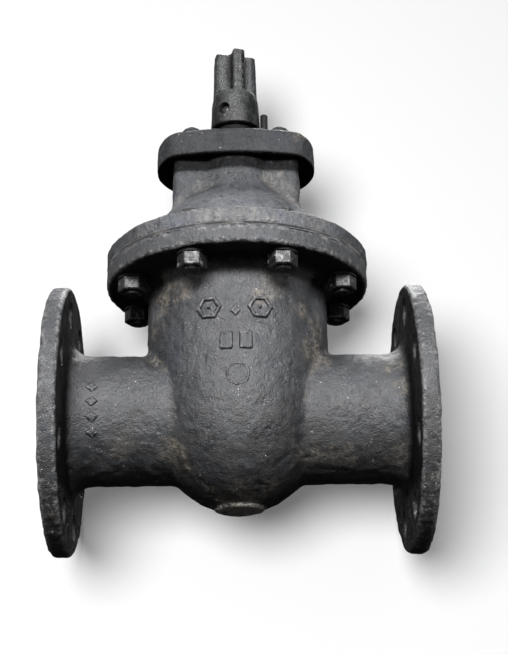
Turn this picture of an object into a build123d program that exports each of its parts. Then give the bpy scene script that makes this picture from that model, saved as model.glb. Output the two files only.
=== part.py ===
from build123d import *
import os, math

# Flanged wedge gate valve, standing with its gate open.
# X runs along the pipe bore, Y across it, Z up the stem; the origin is the centre of the bore.
# "Left" pieces lie at -X and "right" pieces at +X.

os.makedirs("parts", exist_ok=True)
CUT = Mode.SUBTRACT
SIDES = (-1, 1)

# ---------------------------------------------------------------- driving dimensions (mm)
# pipe stubs and pipe flanges
BORE_R = 40.0
PIPE_R = 48.6
HALF_LENGTH = 140.0                   # half of the face-to-face length
FLANGE_R = 100.0
FLANGE_BACK, FLANGE_FRONT = 123.9, 137.3   # distances from the centre along X
RAISED_FACE_R = 67.0
PIPE_BOLT_CIRCLE, PIPE_BOLT_COUNT, PIPE_BOLT_HOLE_R = 160.0, 8, 9.5

# chamber, body top flange and bonnet flange
CHAMBER_R, CAVITY_R = 68.3, 59.3
ROUND_Z = 58.0                        # above this height the chamber is a plain round wall
TOP_FLANGE_R = 100.2
BODY_FLANGE_Z, BODY_TOP_Z = 102.2, 116.0
GASKET_THICKNESS = 1.6
BONNET_Z = BODY_TOP_Z + GASKET_THICKNESS
BONNET_FLANGE_TOP_Z = 130.1
BONNET_BOLT_CIRCLE, BONNET_BOLT_COUNT, BONNET_BOLT_HOLE_R = 170.0, 8, 6.75
BOLT_HEAD_Z = 127.0                   # sunk spot face under each bolt head
M12_HEX_R = 9.5                       # half the width across flats

# seats and gate
TAPER = math.tan(math.radians(4.0))
SEAT_X = 22.0                         # seat face at the bore axis
SEAT_GAP = 0.1                        # between the closed gate and each seat, along X
GATE_X = SEAT_X - SEAT_GAP
RING_R = 48.0                         # outside of the seat rings and gate face rings
RING_BACK_X = 34.0                    # back of the seat pockets
FACE_RING_IN_R = 38.5
FACE_RING_DEPTH = 3.0
GATE_DEPTH = 35.0                     # half thickness of the stock the gate is cut from
LIFT = 90.0                           # gate travel
LUG_Z = 2.0                           # guide lugs, with the gate closed
NUT_Z = 47.0                          # stem nut, with the gate closed
NUT_WIDTH, NUT_HEIGHT = 30.0, 18.0    # pocket sizes

# stem and its bearings
STEM_R, SHANK_R = 12.0, 10.0
THREAD_PITCH, THREAD_START_Z, THREAD_END_Z = 6.0, 47.0, 160.0
COLLAR_Z, COLLAR_TOP_Z, COLLAR_R = 188.0, 196.0, 19.0
COLLAR_CHAMBER_Z = 183.0
BUSH_R = 16.0
SLIDE = 0.08                          # running clearance
DRIVE_SQUARE = 12.0

# bonnet neck, cover plate, packing and gland
NECK_Z = 203.0
COVER_Z, COVER_TOP_Z = 203.7, 226.7
STUD_PAD_X = 34.2
STUD_HOLE_Z = NECK_Z - 22
COVER_STUDS = [(x, y) for y in (18.5, -18.5) for x in (34.5, -34.5)]
PACKING_Z = 207.5
GLAND_STUD_X, GLAND_STUD_Z = 23.2, 213.0
GLAND_STUDS = [(GLAND_STUD_X, 0), (-GLAND_STUD_X, 0)]
GLAND_FLANGE_Z, GLAND_FLANGE_HEIGHT = 230.6, 5.0

# drive cap
CAP_Z, CAP_TOP_Z, CAP_ANGLE = 242.6, 311.0, 13.5
SCREW_Z, SCREW_START_R, SCREW_LENGTH = 255.6, 10.6, 5.6
SCREW_ANGLE = math.radians(-120)      # between two ribs of the cap

# stations of the chamber: height, half width along X, half width along Y
CHAMBER_SECTIONS = (
    (-69.0, 9.0, 10.0), (-66.5, 18.5, 20.0), (-60.0, 32.5, 35.8), (-50.0, 45.0, 49.3),
    (-35.0, 55.3, 60.6), (-18.0, 61.6, 67.6), (0.0, 64.6, 69.8), (25.0, 66.9, 69.6),
    (38.0, 67.9, 69.0), (48.0, 68.3, 68.35), (ROUND_Z, CHAMBER_R, CHAMBER_R),
)
CAVITY_SECTIONS = (
    (-61.0, 9.0, 10.0), (-58.0, 20.0, 22.0), (-50.0, 33.0, 36.5), (-35.0, 45.5, 50.5),
    (-18.0, 52.4, 58.0), (0.0, 55.0, 61.0), (25.0, 57.6, 60.8), (38.0, 58.9, 59.9),
    (48.0, CAVITY_R, CAVITY_R + 0.05), (ROUND_Z, CAVITY_R, CAVITY_R),
)


# ---------------------------------------------------------------- helpers
def bolt_ring(circle, count):
    """Hole places on a bolt circle, straddling the centre lines."""
    angles = [math.radians(180 / count + 360 / count * i) for i in range(count)]
    return [(circle / 2 * math.cos(a), circle / 2 * math.sin(a)) for a in angles]


PIPE_BOLTS = bolt_ring(PIPE_BOLT_CIRCLE, PIPE_BOLT_COUNT)
BONNET_BOLTS = bolt_ring(BONNET_BOLT_CIRCLE, BONNET_BOLT_COUNT)


def level(z):
    return Plane.XY.offset(z)


def side_plane(side, near, far):
    """Plane at the -X end of a span that lies near to far from the centre on one side."""
    return Plane.YZ.offset(near if side > 0 else -far)


# The next five helpers add to, or cut from, the part being built by their caller.
# Each passes its own sketch on, as a sketch in a helper doesn't join the caller's part.
def discs(plane, radius, length, places=((0, 0),), mode=Mode.ADD):
    with BuildSketch(plane) as outline:
        with Locations(*places):
            Circle(radius)
    extrude(outline.sketch, amount=length, mode=mode)


def hexes(z, flat_r, height, places):
    with BuildSketch(level(z)) as outline:
        with Locations(*places):
            RegularPolygon(flat_r, 6, major_radius=False)
    extrude(outline.sketch, amount=height)


def ring(plane, outer_r, inner_r, length):
    with BuildSketch(plane) as outline:
        Circle(outer_r)
        Circle(inner_r, mode=CUT)
    extrude(outline.sketch, amount=length)


def turn(points, axis=Axis.Z, mode=Mode.ADD):
    """Turn a closed outline of (x, z) points."""
    with BuildSketch(Plane.XZ) as outline:
        with BuildLine():
            Polyline(*points, close=True)
        make_face()
    revolve(outline.sketch, axis=axis, mode=mode)


def wedge(half, z_low, z_high, mode):
    """Prism between the two taper planes, which stand half from the centre at z = 0."""
    low, high = half + z_low * TAPER, half + z_high * TAPER
    with BuildSketch(Plane.XZ) as outline:
        with BuildLine():
            Polyline((-low, z_low), (low, z_low), (high, z_high), (-high, z_high), close=True)
        make_face()
    extrude(outline.sketch, amount=60, both=True, mode=mode)


def tube(outer_r, inner_r, z_low, z_high):
    with BuildPart() as piece:
        ring(level(z_low), outer_r, inner_r, z_high - z_low)
    return piece.part


# ---------------------------------------------------------------- valve body
def body_cavity():
    with BuildPart() as cavity:
        for z, half_x, half_y in CAVITY_SECTIONS:
            with BuildSketch(level(z)):
                Ellipse(half_x, half_y)
        loft()
        discs(level(ROUND_Z), CAVITY_R, BODY_TOP_Z - ROUND_Z + 2)
    return cavity.part


def seat_tubes():
    """Stock that carries the seat rings into the chamber, its ends cut to the taper."""
    near, far = 20, 41
    with BuildPart() as tubes:
        for side in SIDES:
            discs(side_plane(side, near, far), 52, far - near)
        wedge(SEAT_X + 2, -60, 60, CUT)
    return tubes.part


def valve_body():
    top_flange_profile = [
        (0, ROUND_Z), (CHAMBER_R, ROUND_Z), (CHAMBER_R, BODY_FLANGE_Z - 9),
        (CHAMBER_R + 1.2, BODY_FLANGE_Z - 4), (CHAMBER_R + 4.5, BODY_FLANGE_Z),
        (TOP_FLANGE_R - 1.5, BODY_FLANGE_Z), (TOP_FLANGE_R, BODY_FLANGE_Z + 1.5),
        (TOP_FLANGE_R, BODY_TOP_Z - 0.8), (TOP_FLANGE_R - 0.8, BODY_TOP_Z), (0, BODY_TOP_Z),
    ]
    # distance from the centre, radius; from the flange front back to the pipe
    pipe_profile = [
        (FLANGE_FRONT, 0), (FLANGE_FRONT, FLANGE_R - 2), (FLANGE_FRONT - 2, FLANGE_R),
        (FLANGE_BACK + 2, FLANGE_R), (FLANGE_BACK, FLANGE_R - 2), (FLANGE_BACK, PIPE_R + 11),
        (FLANGE_BACK - 3.2, PIPE_R + 4.2), (FLANGE_BACK - 10, PIPE_R + 0.8),
        (FLANGE_BACK - 18, PIPE_R),
    ]
    foot_z, foot_r, foot_height = -69.5, 18, 12
    inner_pipe_near, inner_pipe_far = 36, 60
    rib_y, rib_z, rib_size = 56.6, 41, (10, 10.2, 142)
    bore_end, pocket_near = 150, 19

    with BuildPart() as body:
        # rounded chamber, then its round top and flange
        for z, half_x, half_y in CHAMBER_SECTIONS:
            with BuildSketch(level(z)):
                Ellipse(half_x, half_y)
        loft()
        turn(top_flange_profile)
        # pipe stubs and flanges, then the raised joint faces
        turn([(-x, r) for x, r in pipe_profile] + pipe_profile[::-1], axis=Axis.X)
        for side in SIDES:
            discs(side_plane(side, FLANGE_FRONT - 1, HALF_LENGTH), RAISED_FACE_R,
                  HALF_LENGTH - FLANGE_FRONT + 1)
        # flat foot under the chamber
        discs(level(foot_z), foot_r, foot_height)
        add(body_cavity(), mode=CUT)
        # pipe walls and seat tubes carried inside the chamber
        for side in SIDES:
            discs(side_plane(side, inner_pipe_near, inner_pipe_far), PIPE_R - 0.8,
                  inner_pipe_far - inner_pipe_near)
        add(seat_tubes())
        # guide ribs on the two walls across Y
        for side in SIDES:
            with Locations((0, side * rib_y, rib_z)):
                Box(*rib_size)
        # bore from each end, then the seat pockets
        for side in SIDES:
            discs(side_plane(side, RING_BACK_X, bore_end), BORE_R, bore_end - RING_BACK_X,
                  mode=CUT)
        for side in SIDES:
            discs(side_plane(side, pocket_near, RING_BACK_X), RING_R,
                  RING_BACK_X - pocket_near, mode=CUT)
        # pipe flange bolt holes, through each flange only
        for start_x in (-HALF_LENGTH - 1, FLANGE_BACK - 4):
            discs(Plane.YZ.offset(start_x), PIPE_BOLT_HOLE_R, 21, PIPE_BOLTS, CUT)
        # bonnet bolt holes
        discs(level(BODY_FLANGE_Z - 1), BONNET_BOLT_HOLE_R,
              BODY_TOP_Z - BODY_FLANGE_Z + 2, BONNET_BOLTS, CUT)
    return body.part


def body_seat_ring(side):
    near = 18
    with BuildPart() as piece:
        ring(side_plane(side, near, RING_BACK_X), RING_R, BORE_R, RING_BACK_X - near)
        wedge(SEAT_X, -60, 60, CUT)
    return piece.part


# ---------------------------------------------------------------- gate
# The gate is drawn closed, then lifted to open.
GATE_LOW_Z, GATE_HIGH_Z = -55, 70     # limits of the tapered block


def gate_blank():
    with BuildPart() as blank:
        discs(Plane.YZ.offset(-GATE_DEPTH), 50, 2 * GATE_DEPTH)
        # neck that carries the stem nut
        with Locations((0, 0, 43)):
            Box(2 * GATE_DEPTH, 44, 38)
        # guide lugs
        for side in SIDES:
            with Locations((0, side * 50.5, LUG_Z)):
                Box(24, 10, 34)
        wedge(GATE_X - 1, GATE_LOW_Z, GATE_HIGH_Z, Mode.INTERSECT)
    return blank.part


def face_ring_recesses():
    with BuildPart() as recesses:
        ring(Plane.YZ.offset(-GATE_DEPTH), RING_R, FACE_RING_IN_R, 2 * GATE_DEPTH)
        wedge(GATE_X - FACE_RING_DEPTH, GATE_LOW_Z, GATE_HIGH_Z, CUT)
    return recesses.part


def gate_wedge():
    with BuildPart() as gate:
        add(gate_blank())
        add(face_ring_recesses(), mode=CUT)
        # slots that run on the body ribs
        for side in SIDES:
            with Locations((0, side * 55.2, LUG_Z)):
                Box(10.6, 8, 40, mode=CUT)
        # channel that takes the stem below the nut
        discs(level(-45), 13.5, 120, mode=CUT)
        # pocket for the stem nut, open at both faces
        with Locations((0, 0, NUT_Z)):
            Box(80, NUT_WIDTH, NUT_HEIGHT, mode=CUT)
    return gate.part.moved(Location((0, 0, LIFT)))


def gate_face_ring(side):
    with BuildPart() as piece:
        ring(side_plane(side, 0, GATE_DEPTH), RING_R, FACE_RING_IN_R, GATE_DEPTH)
        wedge(GATE_X - FACE_RING_DEPTH, GATE_LOW_Z, GATE_HIGH_Z, CUT)
        wedge(GATE_X, GATE_LOW_Z, GATE_HIGH_Z, Mode.INTERSECT)
    return piece.part.moved(Location((0, 0, LIFT)))


# ---------------------------------------------------------------- stem
def stem_nut():
    with BuildPart() as nut:
        with Locations((0, 0, NUT_Z + LIFT)):
            Box(42, NUT_WIDTH - 0.2, NUT_HEIGHT - 0.2)
        fillet(nut.edges().filter_by(Axis.Z), 2)
        discs(level(30 + LIFT), STEM_R + SLIDE, 40, mode=CUT)
    return nut.part


def stem_profile():
    """Turned outline, with a plain ridge for each pitch of the thread."""
    root_r = STEM_R - 2.6
    shank_top_z = 244.0
    points = [(0, THREAD_START_Z), (STEM_R - 3, THREAD_START_Z)]
    z = THREAD_START_Z + 1.0
    while z + THREAD_PITCH < THREAD_END_Z:
        points += [(root_r, z), (STEM_R, z + 1.6), (STEM_R, z + 3.2), (root_r, z + 4.8)]
        z += THREAD_PITCH
    return points + [
        (root_r, z), (STEM_R, z + 2.6), (STEM_R, COLLAR_Z), (COLLAR_R, COLLAR_Z),
        (COLLAR_R, COLLAR_TOP_Z), (SHANK_R, COLLAR_TOP_Z), (SHANK_R, shank_top_z),
        (0, shank_top_z),
    ]


def stem():
    with BuildPart() as piece:
        turn(stem_profile())
        # square drive end inside the cap
        with BuildSketch(level(243.5)):
            Rectangle(DRIVE_SQUARE, DRIVE_SQUARE, rotation=CAP_ANGLE + 45)
        extrude(amount=30)
        chamfer(piece.faces().sort_by(Axis.Z)[-1].edges(), 1)
    return piece.part


# ---------------------------------------------------------------- bonnet
def bonnet():
    neck_r, pad_z = 36, 140
    # radius, height
    outer_profile = [
        (0, BONNET_Z), (TOP_FLANGE_R - 0.8, BONNET_Z), (TOP_FLANGE_R, BONNET_Z + 0.8),
        (TOP_FLANGE_R, BONNET_FLANGE_TOP_Z - 2.2),
        (TOP_FLANGE_R - 0.7, BONNET_FLANGE_TOP_Z - 0.7),
        (TOP_FLANGE_R - 2.2, BONNET_FLANGE_TOP_Z), (76, BONNET_FLANGE_TOP_Z),
        (72.5, 136), (67, 147), (61, 156), (55, 162.5), (47, 169.5), (38, 178),
        (neck_r, 184), (neck_r, NECK_Z), (0, NECK_Z),
    ]
    hollow_profile = [
        (0, BONNET_Z - 1), (CAVITY_R, BONNET_Z - 1), (CAVITY_R, 124), (57, 134), (52, 143),
        (45, 150), (36.5, 156), (24, 158.5), (0, 158.5),
    ]
    with BuildPart() as piece:
        turn(outer_profile)
        # stud pads either side of the neck
        with BuildSketch(level(pad_z)):
            for side in SIDES:
                with Locations((side * STUD_PAD_X, 0)):
                    RectangleRounded(30.4, 57, 7)
            Rectangle(50, 46)
        extrude(amount=NECK_Z - pad_z)
        # hollow for the open gate
        turn(hollow_profile, mode=CUT)
        # stem bush bore, then the chamber of the collar
        discs(level(150), BUSH_R, 40, mode=CUT)
        discs(level(COLLAR_CHAMBER_Z), 20.5, 30, mode=CUT)
        # flange bolt holes, with spot faces cut into the dome foot
        discs(level(BONNET_Z - 1), BONNET_BOLT_HOLE_R, 20, BONNET_BOLTS, CUT)
        discs(level(BOLT_HEAD_Z), 12.5, 16, BONNET_BOLTS, CUT)
        # blind holes for the cover studs
        discs(level(STUD_HOLE_Z), 5, 30, COVER_STUDS, CUT)
    return piece.part


def bonnet_gasket():
    with BuildPart() as gasket:
        with BuildSketch(level(BODY_TOP_Z)):
            Circle(TOP_FLANGE_R - 0.1)
            Circle(CAVITY_R + 0.5, mode=CUT)
            with Locations(*BONNET_BOLTS):
                Circle(7.2, mode=CUT)
        extrude(amount=GASKET_THICKNESS)
    return gasket.part


# ---------------------------------------------------------------- bonnet fasteners, M12
def bonnet_bolts():
    tip_z = 88.2
    with BuildPart() as bolts:
        hexes(BOLT_HEAD_Z, M12_HEX_R, 7.0, BONNET_BOLTS)
        heads = bolts.faces().sort_by(Axis.Z)[-BONNET_BOLT_COUNT:]
        chamfer(heads.edges(), 0.8)
        discs(level(tip_z), 5.95, BOLT_HEAD_Z - tip_z, BONNET_BOLTS)
        tips = bolts.faces().filter_by(Plane.XY).sort_by(Axis.Z)[:BONNET_BOLT_COUNT]
        chamfer(tips.edges(), 1)
    return bolts.part


def bonnet_washers():
    thickness = 2.0
    with BuildPart() as washers:
        with BuildSketch(level(BODY_FLANGE_Z - thickness)):
            with Locations(*BONNET_BOLTS):
                Circle(11.0)
                Circle(6.3, mode=CUT)
        extrude(amount=thickness)
    return washers.part


def bonnet_nuts():
    with BuildPart() as nuts:
        hexes(BODY_FLANGE_Z - 12.0, M12_HEX_R, 10.0, BONNET_BOLTS)
        chamfer(nuts.faces().sort_by(Axis.Z)[:BONNET_BOLT_COUNT].edges(), 0.9)
        discs(level(BODY_FLANGE_Z - 13), 6.0, 12, BONNET_BOLTS, CUT)
    return nuts.part


# ---------------------------------------------------------------- cover plate
def cover_plate():
    half_x, half_y = 62.6, 39.5
    corner_x, corner_y = half_x - 13, half_y - 7.5
    through = 40                      # depth of cuts that run out of the top
    with BuildPart() as plate:
        # four bowed sides with rounded corners
        with BuildSketch(level(COVER_Z)) as outline:
            with BuildLine():
                ThreePointArc((-corner_x, -corner_y), (0, -half_y), (corner_x, -corner_y))
                ThreePointArc((corner_x, -corner_y), (half_x, 0), (corner_x, corner_y))
                ThreePointArc((corner_x, corner_y), (0, half_y), (-corner_x, corner_y))
                ThreePointArc((-corner_x, corner_y), (-half_x, 0), (-corner_x, -corner_y))
            make_face()
            fillet(outline.vertices(), 14)
        extrude(amount=COVER_TOP_Z - COVER_Z)
        fillet(plate.faces().sort_by(Axis.Z)[-1].edges(), 5)
        fillet(plate.faces().sort_by(Axis.Z)[0].edges(), 1.2)
        # raised boss round the packing chamber
        with BuildSketch(level(COVER_TOP_Z - 1)):
            Ellipse(31, 19)
        extrude(amount=3.4)
        # shank hole and packing chamber
        discs(level(COVER_Z - 1), SHANK_R + 0.4, through, mode=CUT)
        discs(level(PACKING_Z), 16.5, through, mode=CUT)
        # cover stud holes with room for their nuts, then the gland stud holes
        discs(level(COVER_Z - 1), 5.5, through, COVER_STUDS, CUT)
        discs(level(COVER_TOP_Z), 10.5, 14, COVER_STUDS, CUT)
        discs(level(GLAND_STUD_Z), 3, through, GLAND_STUDS, CUT)
    return plate.part


def cover_gasket():
    with BuildPart() as gasket:
        with BuildSketch(level(NECK_Z)):
            for side in SIDES:
                with Locations((side * STUD_PAD_X, 0)):
                    RectangleRounded(29.4, 56, 7)
            Circle(35)
            with Locations(*COVER_STUDS):
                Circle(5.6, mode=CUT)
            Circle(20.6, mode=CUT)
        extrude(amount=COVER_Z - NECK_Z)
    return gasket.part


def cover_studs():
    top_z = 235.2
    with BuildPart() as studs:
        discs(level(STUD_HOLE_Z), 4.98, top_z - STUD_HOLE_Z, COVER_STUDS)
        chamfer(studs.faces().sort_by(Axis.Z)[-4:].edges(), 1)
    return studs.part


def cover_nuts():
    with BuildPart() as nuts:
        hexes(COVER_TOP_Z, 8.0, 5.6, COVER_STUDS)
        chamfer(nuts.faces().sort_by(Axis.Z)[-4:].edges(), 0.7)
        discs(level(COVER_TOP_Z - 1), 5.0, 12, COVER_STUDS, CUT)
    return nuts.part


# ---------------------------------------------------------------- packing and gland
def packing_rings():
    count, spacing, height = 3, 4.4, 4.2
    with BuildPart() as rings:
        for i in range(count):
            ring(level(PACKING_Z + spacing * i), 16.45, SHANK_R + 0.05, height)
    return rings.part


def gland_follower():
    with BuildPart() as follower:
        discs(level(220.6), 16.3, 12)
        with BuildSketch(level(GLAND_FLANGE_Z)):
            Ellipse(30, 17.5)
        extrude(amount=GLAND_FLANGE_HEIGHT)
        discs(level(219), SHANK_R + SLIDE, 22, mode=CUT)
        discs(level(219), 3.3, 22, GLAND_STUDS, CUT)
    return follower.part


def gland_studs():
    # the stud at +X stands taller
    with BuildPart() as studs:
        for place, top_z in zip(GLAND_STUDS, (257.3, 242.0)):
            discs(level(GLAND_STUD_Z), 2.97, top_z - GLAND_STUD_Z, [place])
        chamfer(studs.faces().filter_by(Plane.XY).sort_by(Axis.Z)[-2:].edges(), 0.6)
    return studs.part


def gland_nuts():
    with BuildPart() as nuts:
        hexes(GLAND_FLANGE_Z + GLAND_FLANGE_HEIGHT, 5.0, 5.0, GLAND_STUDS)
        discs(level(235), 3.0, 12, GLAND_STUDS, CUT)
    return nuts.part


# ---------------------------------------------------------------- drive cap
def screw_plane(radius):
    """Plane facing out along the set screw, at a radius from the stem axis."""
    out_x, out_y = math.cos(SCREW_ANGLE), math.sin(SCREW_ANGLE)
    return Plane(origin=(radius * out_x, radius * out_y, SCREW_Z),
                 x_dir=(-out_y, out_x, 0), z_dir=(out_x, out_y, 0))


def axis_distance(vertex):
    return round((vertex.X**2 + vertex.Y**2) ** 0.5, 3)


def stem_cap():
    skirt_top_z = 274.6
    # radius, height
    skirt_profile = [
        (0, CAP_Z), (19.3, CAP_Z), (19.8, CAP_Z + 0.8), (19.4, 254), (19.0, 263),
        (18.6, 267.5), (17.9, 271), (17.0, 273.2), (15.5, skirt_top_z), (0, skirt_top_z),
    ]
    # height, reach of the ribs, width of the ribs
    rib_sections = ((262.0, 18.0, 10.4), (CAP_TOP_Z, 16.35, 9.6))
    socket = DRIVE_SQUARE + 0.1
    with BuildPart() as cap:
        turn(skirt_profile)
        # four-rib drive, tapering upwards
        for z, reach, width in rib_sections:
            with BuildSketch(level(z)) as ribs:
                Rectangle(2 * reach, width, rotation=CAP_ANGLE)
                Rectangle(width, 2 * reach, rotation=CAP_ANGLE)
                fillet(ribs.vertices().group_by(axis_distance)[-1], 2.0)
                fillet(ribs.vertices().group_by(axis_distance)[0], 3.6)
        loft()
        chamfer(cap.faces().sort_by(Axis.Z)[-1].edges(), 0.8)
        # hollow underside, then the square socket
        discs(level(CAP_Z - 1), 16.6, 5, mode=CUT)
        with BuildSketch(level(CAP_Z - 1)):
            Rectangle(socket, socket, rotation=CAP_ANGLE + 45)
        extrude(amount=33, mode=CUT)
        # set screw hole
        discs(screw_plane(0), 5.0, 24, mode=CUT)
    return cap.part


def cap_set_screw():
    with BuildPart() as screw:
        discs(screw_plane(SCREW_START_R), 4.9, SCREW_LENGTH)
        # driver slot in the outer end
        with BuildSketch(screw_plane(SCREW_START_R + SCREW_LENGTH)):
            Rectangle(10, 1.4)
        extrude(amount=-1.6, mode=CUT)
    return screw.part


# ---------------------------------------------------------------- one file per piece
WASHER_R = 20.4
pieces = {
    "valve_body": valve_body(),
    "body_seat_ring_left": body_seat_ring(-1),
    "body_seat_ring_right": body_seat_ring(1),
    "gate_wedge": gate_wedge(),
    "gate_face_ring_left": gate_face_ring(-1),
    "gate_face_ring_right": gate_face_ring(1),
    "stem_nut": stem_nut(),
    "stem": stem(),
    "bonnet": bonnet(),
    "bonnet_gasket": bonnet_gasket(),
    "bonnet_bolts": bonnet_bolts(),
    "bonnet_washers": bonnet_washers(),
    "bonnet_nuts": bonnet_nuts(),
    "stem_bush": tube(BUSH_R, STEM_R + 0.06, 159.5, 182.5),
    "thrust_washer_lower": tube(WASHER_R, STEM_R + SLIDE, COLLAR_CHAMBER_Z, COLLAR_Z - SLIDE),
    "thrust_washer_upper": tube(WASHER_R, SHANK_R + SLIDE, COLLAR_TOP_Z + SLIDE, 202.4),
    "cover_plate": cover_plate(),
    "cover_gasket": cover_gasket(),
    "cover_studs": cover_studs(),
    "cover_nuts": cover_nuts(),
    "packing_rings": packing_rings(),
    "gland_follower": gland_follower(),
    "gland_studs": gland_studs(),
    "gland_nuts": gland_nuts(),
    "dust_seal": tube(16.0, SHANK_R + SLIDE, 236.0, 241.0),
    "stem_cap": stem_cap(),
    "cap_set_screw": cap_set_screw(),
}
for name, part in pieces.items():
    part.label = name
    export_step(part, f"parts/{name}.step")
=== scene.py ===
# A gate valve in worn dark paint. The stem runs up Z, the flanged pipe runs along X through
# the origin, and the front faces -Y. Sizes are in mm unless a comment says metres.
import math
import bpy
import bmesh
import numpy as np
from mathutils import Matrix, Vector
from mathutils.bvhtree import BVHTree


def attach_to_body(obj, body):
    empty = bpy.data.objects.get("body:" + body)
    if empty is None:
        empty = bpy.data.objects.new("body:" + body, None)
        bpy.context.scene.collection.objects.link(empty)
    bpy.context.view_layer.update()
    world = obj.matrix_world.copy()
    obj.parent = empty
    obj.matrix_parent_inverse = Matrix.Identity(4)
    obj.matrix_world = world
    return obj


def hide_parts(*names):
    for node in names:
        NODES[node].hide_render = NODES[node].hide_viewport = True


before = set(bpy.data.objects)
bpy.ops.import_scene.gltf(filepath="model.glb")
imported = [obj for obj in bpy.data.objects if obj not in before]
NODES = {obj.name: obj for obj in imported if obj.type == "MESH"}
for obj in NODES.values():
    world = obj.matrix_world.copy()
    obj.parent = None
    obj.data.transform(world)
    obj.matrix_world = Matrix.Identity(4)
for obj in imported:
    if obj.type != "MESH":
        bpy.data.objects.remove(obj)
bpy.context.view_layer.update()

scene = bpy.context.scene
TURN = 6.2832  # one turn in radians, as the wave textures use it


def pick(full):
    return full


# ---------------------------------------------------------------- noise and easing
HASH_PRIMES = (73856093, 19349663, 83492791)


def value_noise(points, seed):
    """Noise in 0..1 on a hashed lattice, for points in lattice units."""
    cell = np.floor(points).astype(np.int64)
    part = points - cell
    part = part * part * (3 - 2 * part)
    total = np.zeros(len(points))
    for corner in np.ndindex(2, 2, 2):
        keys = (cell + corner) * HASH_PRIMES
        mixed = keys[:, 0] ^ keys[:, 1] ^ keys[:, 2] ^ (seed * 2654435761)
        mixed = (mixed ^ (mixed >> 13)) * 1274126177
        mixed = (mixed ^ (mixed >> 16)) & 0xFFFFFF
        share = np.where(corner, part, 1 - part)
        total += share[:, 0] * share[:, 1] * share[:, 2] * mixed / 0xFFFFFF
    return total


def plane_noise(x, y, z, seed):
    """Noise over arrays x and y at one height z, in lattice units."""
    points = np.stack([x.ravel(), y.ravel(), np.full(x.size, z)], 1)
    return value_noise(points, seed).reshape(x.shape)


def ease(start, end, value):
    """0 at start, 1 at end, smooth between; start may be above end."""
    t = np.clip((value - start) / (end - start), 0, 1)
    return t * t * (3 - 2 * t)


def between(value, low, high):
    return (value > low) & (value < high)


# ---------------------------------------------------------------- mesh helpers
class Net:
    """A mesh as arrays in mm. Smoothing works in place, so views of co stay current."""

    def __init__(self, mesh):
        count = len(mesh.vertices)
        flat = np.zeros(count * 3)
        mesh.vertices.foreach_get("co", flat)
        self.co = flat.reshape(-1, 3) * 1000.0
        pairs = np.zeros(len(mesh.edges) * 2, np.int64)
        mesh.edges.foreach_get("vertices", pairs)
        self.edges = pairs.reshape(-1, 2)
        self.degree = np.bincount(pairs, minlength=count).astype(float)
        self.degree[self.degree == 0] = 1
        self.mesh = mesh

    def average(self, values):
        """The mean of each vertex's neighbours."""
        if values.ndim > 1:
            return np.stack([self.average(column) for column in values.T], 1)
        a, b = self.edges.T
        count = len(values)
        return (np.bincount(a, values[b], count) + np.bincount(b, values[a], count)) / self.degree

    def relaxed(self, passes, weight=1.0, rate=0.5):
        """A smoothed copy of the coordinates."""
        co = self.co.copy()
        for _ in range(passes):
            co += np.reshape(weight, (-1, 1)) * rate * (self.average(co) - co)
        return co

    def smooth(self, passes, weight=1.0, rate=0.5):
        self.co[:] = self.relaxed(passes, weight, rate)

    def taubin(self, passes):
        """Smooths without shrinking."""
        for _ in range(passes):
            self.co += 0.5 * (self.average(self.co) - self.co)
            self.co -= 0.53 * (self.average(self.co) - self.co)

    def depth(self, normals, passes):
        """How far each vertex lies below its smoothed surroundings."""
        moved = self.relaxed(passes, rate=0.6) - self.co
        return np.einsum("ij,ij->i", moved, normals)

    def normals(self):
        self.write()
        flat = np.zeros(len(self.co) * 3)
        self.mesh.vertex_normals.foreach_get("vector", flat)
        return flat.reshape(-1, 3)

    def write(self):
        self.mesh.vertices.foreach_set("co", (self.co / 1000.0).ravel().astype(np.float32))
        self.mesh.update()

    def radii(self):
        """Distances from the pipe axis, from the middle along X, and from the stem axis."""
        x, y, z = self.co.T
        return np.hypot(y, z), np.abs(x), np.hypot(x, y)


def store_masks(mesh, hollow, edge=0, skin=1, patch=0, painted_shade=0, pale=0):
    """Stores the masks that cast_paint reads."""
    masks = {"hollow": hollow, "edge": edge, "skin": skin, "patch": patch, "painted_shade": painted_shade,
             "pale": pale}
    for name, values in masks.items():
        layer = mesh.attributes.new(name, "FLOAT", "POINT")
        layer.data.foreach_set("value", np.full(len(mesh.vertices), values, np.float32))


def shade_smooth(mesh):
    for face in mesh.polygons:
        face.use_smooth = True


def apply_modifiers(ob):
    graph = bpy.context.evaluated_depsgraph_get()
    new = bpy.data.meshes.new_from_object(ob.evaluated_get(graph))
    ob.modifiers.clear()
    old = ob.data
    ob.data = new
    bpy.data.meshes.remove(old)


def remeshed(node, name, voxel):
    """A closed even mesh of a CAD node, as a new object."""
    ob = bpy.data.objects.new(name, NODES[node].data.copy())
    scene.collection.objects.link(ob)
    remesh = ob.modifiers.new("r", "REMESH")
    remesh.mode = "VOXEL"
    remesh.voxel_size = voxel / 1000.0
    remesh.adaptivity = 0.0
    apply_modifiers(ob)
    ob.data.name = name
    ob.data.materials.clear()
    return ob


def trim(ob, triangles):
    """Reduces a mesh that has more than this many triangles."""
    count = sum(len(face.vertices) - 2 for face in ob.data.polygons)
    if count > triangles:
        ob.modifiers.new("trim", "DECIMATE").ratio = triangles / count
        apply_modifiers(ob)
        shade_smooth(ob.data)


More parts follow.
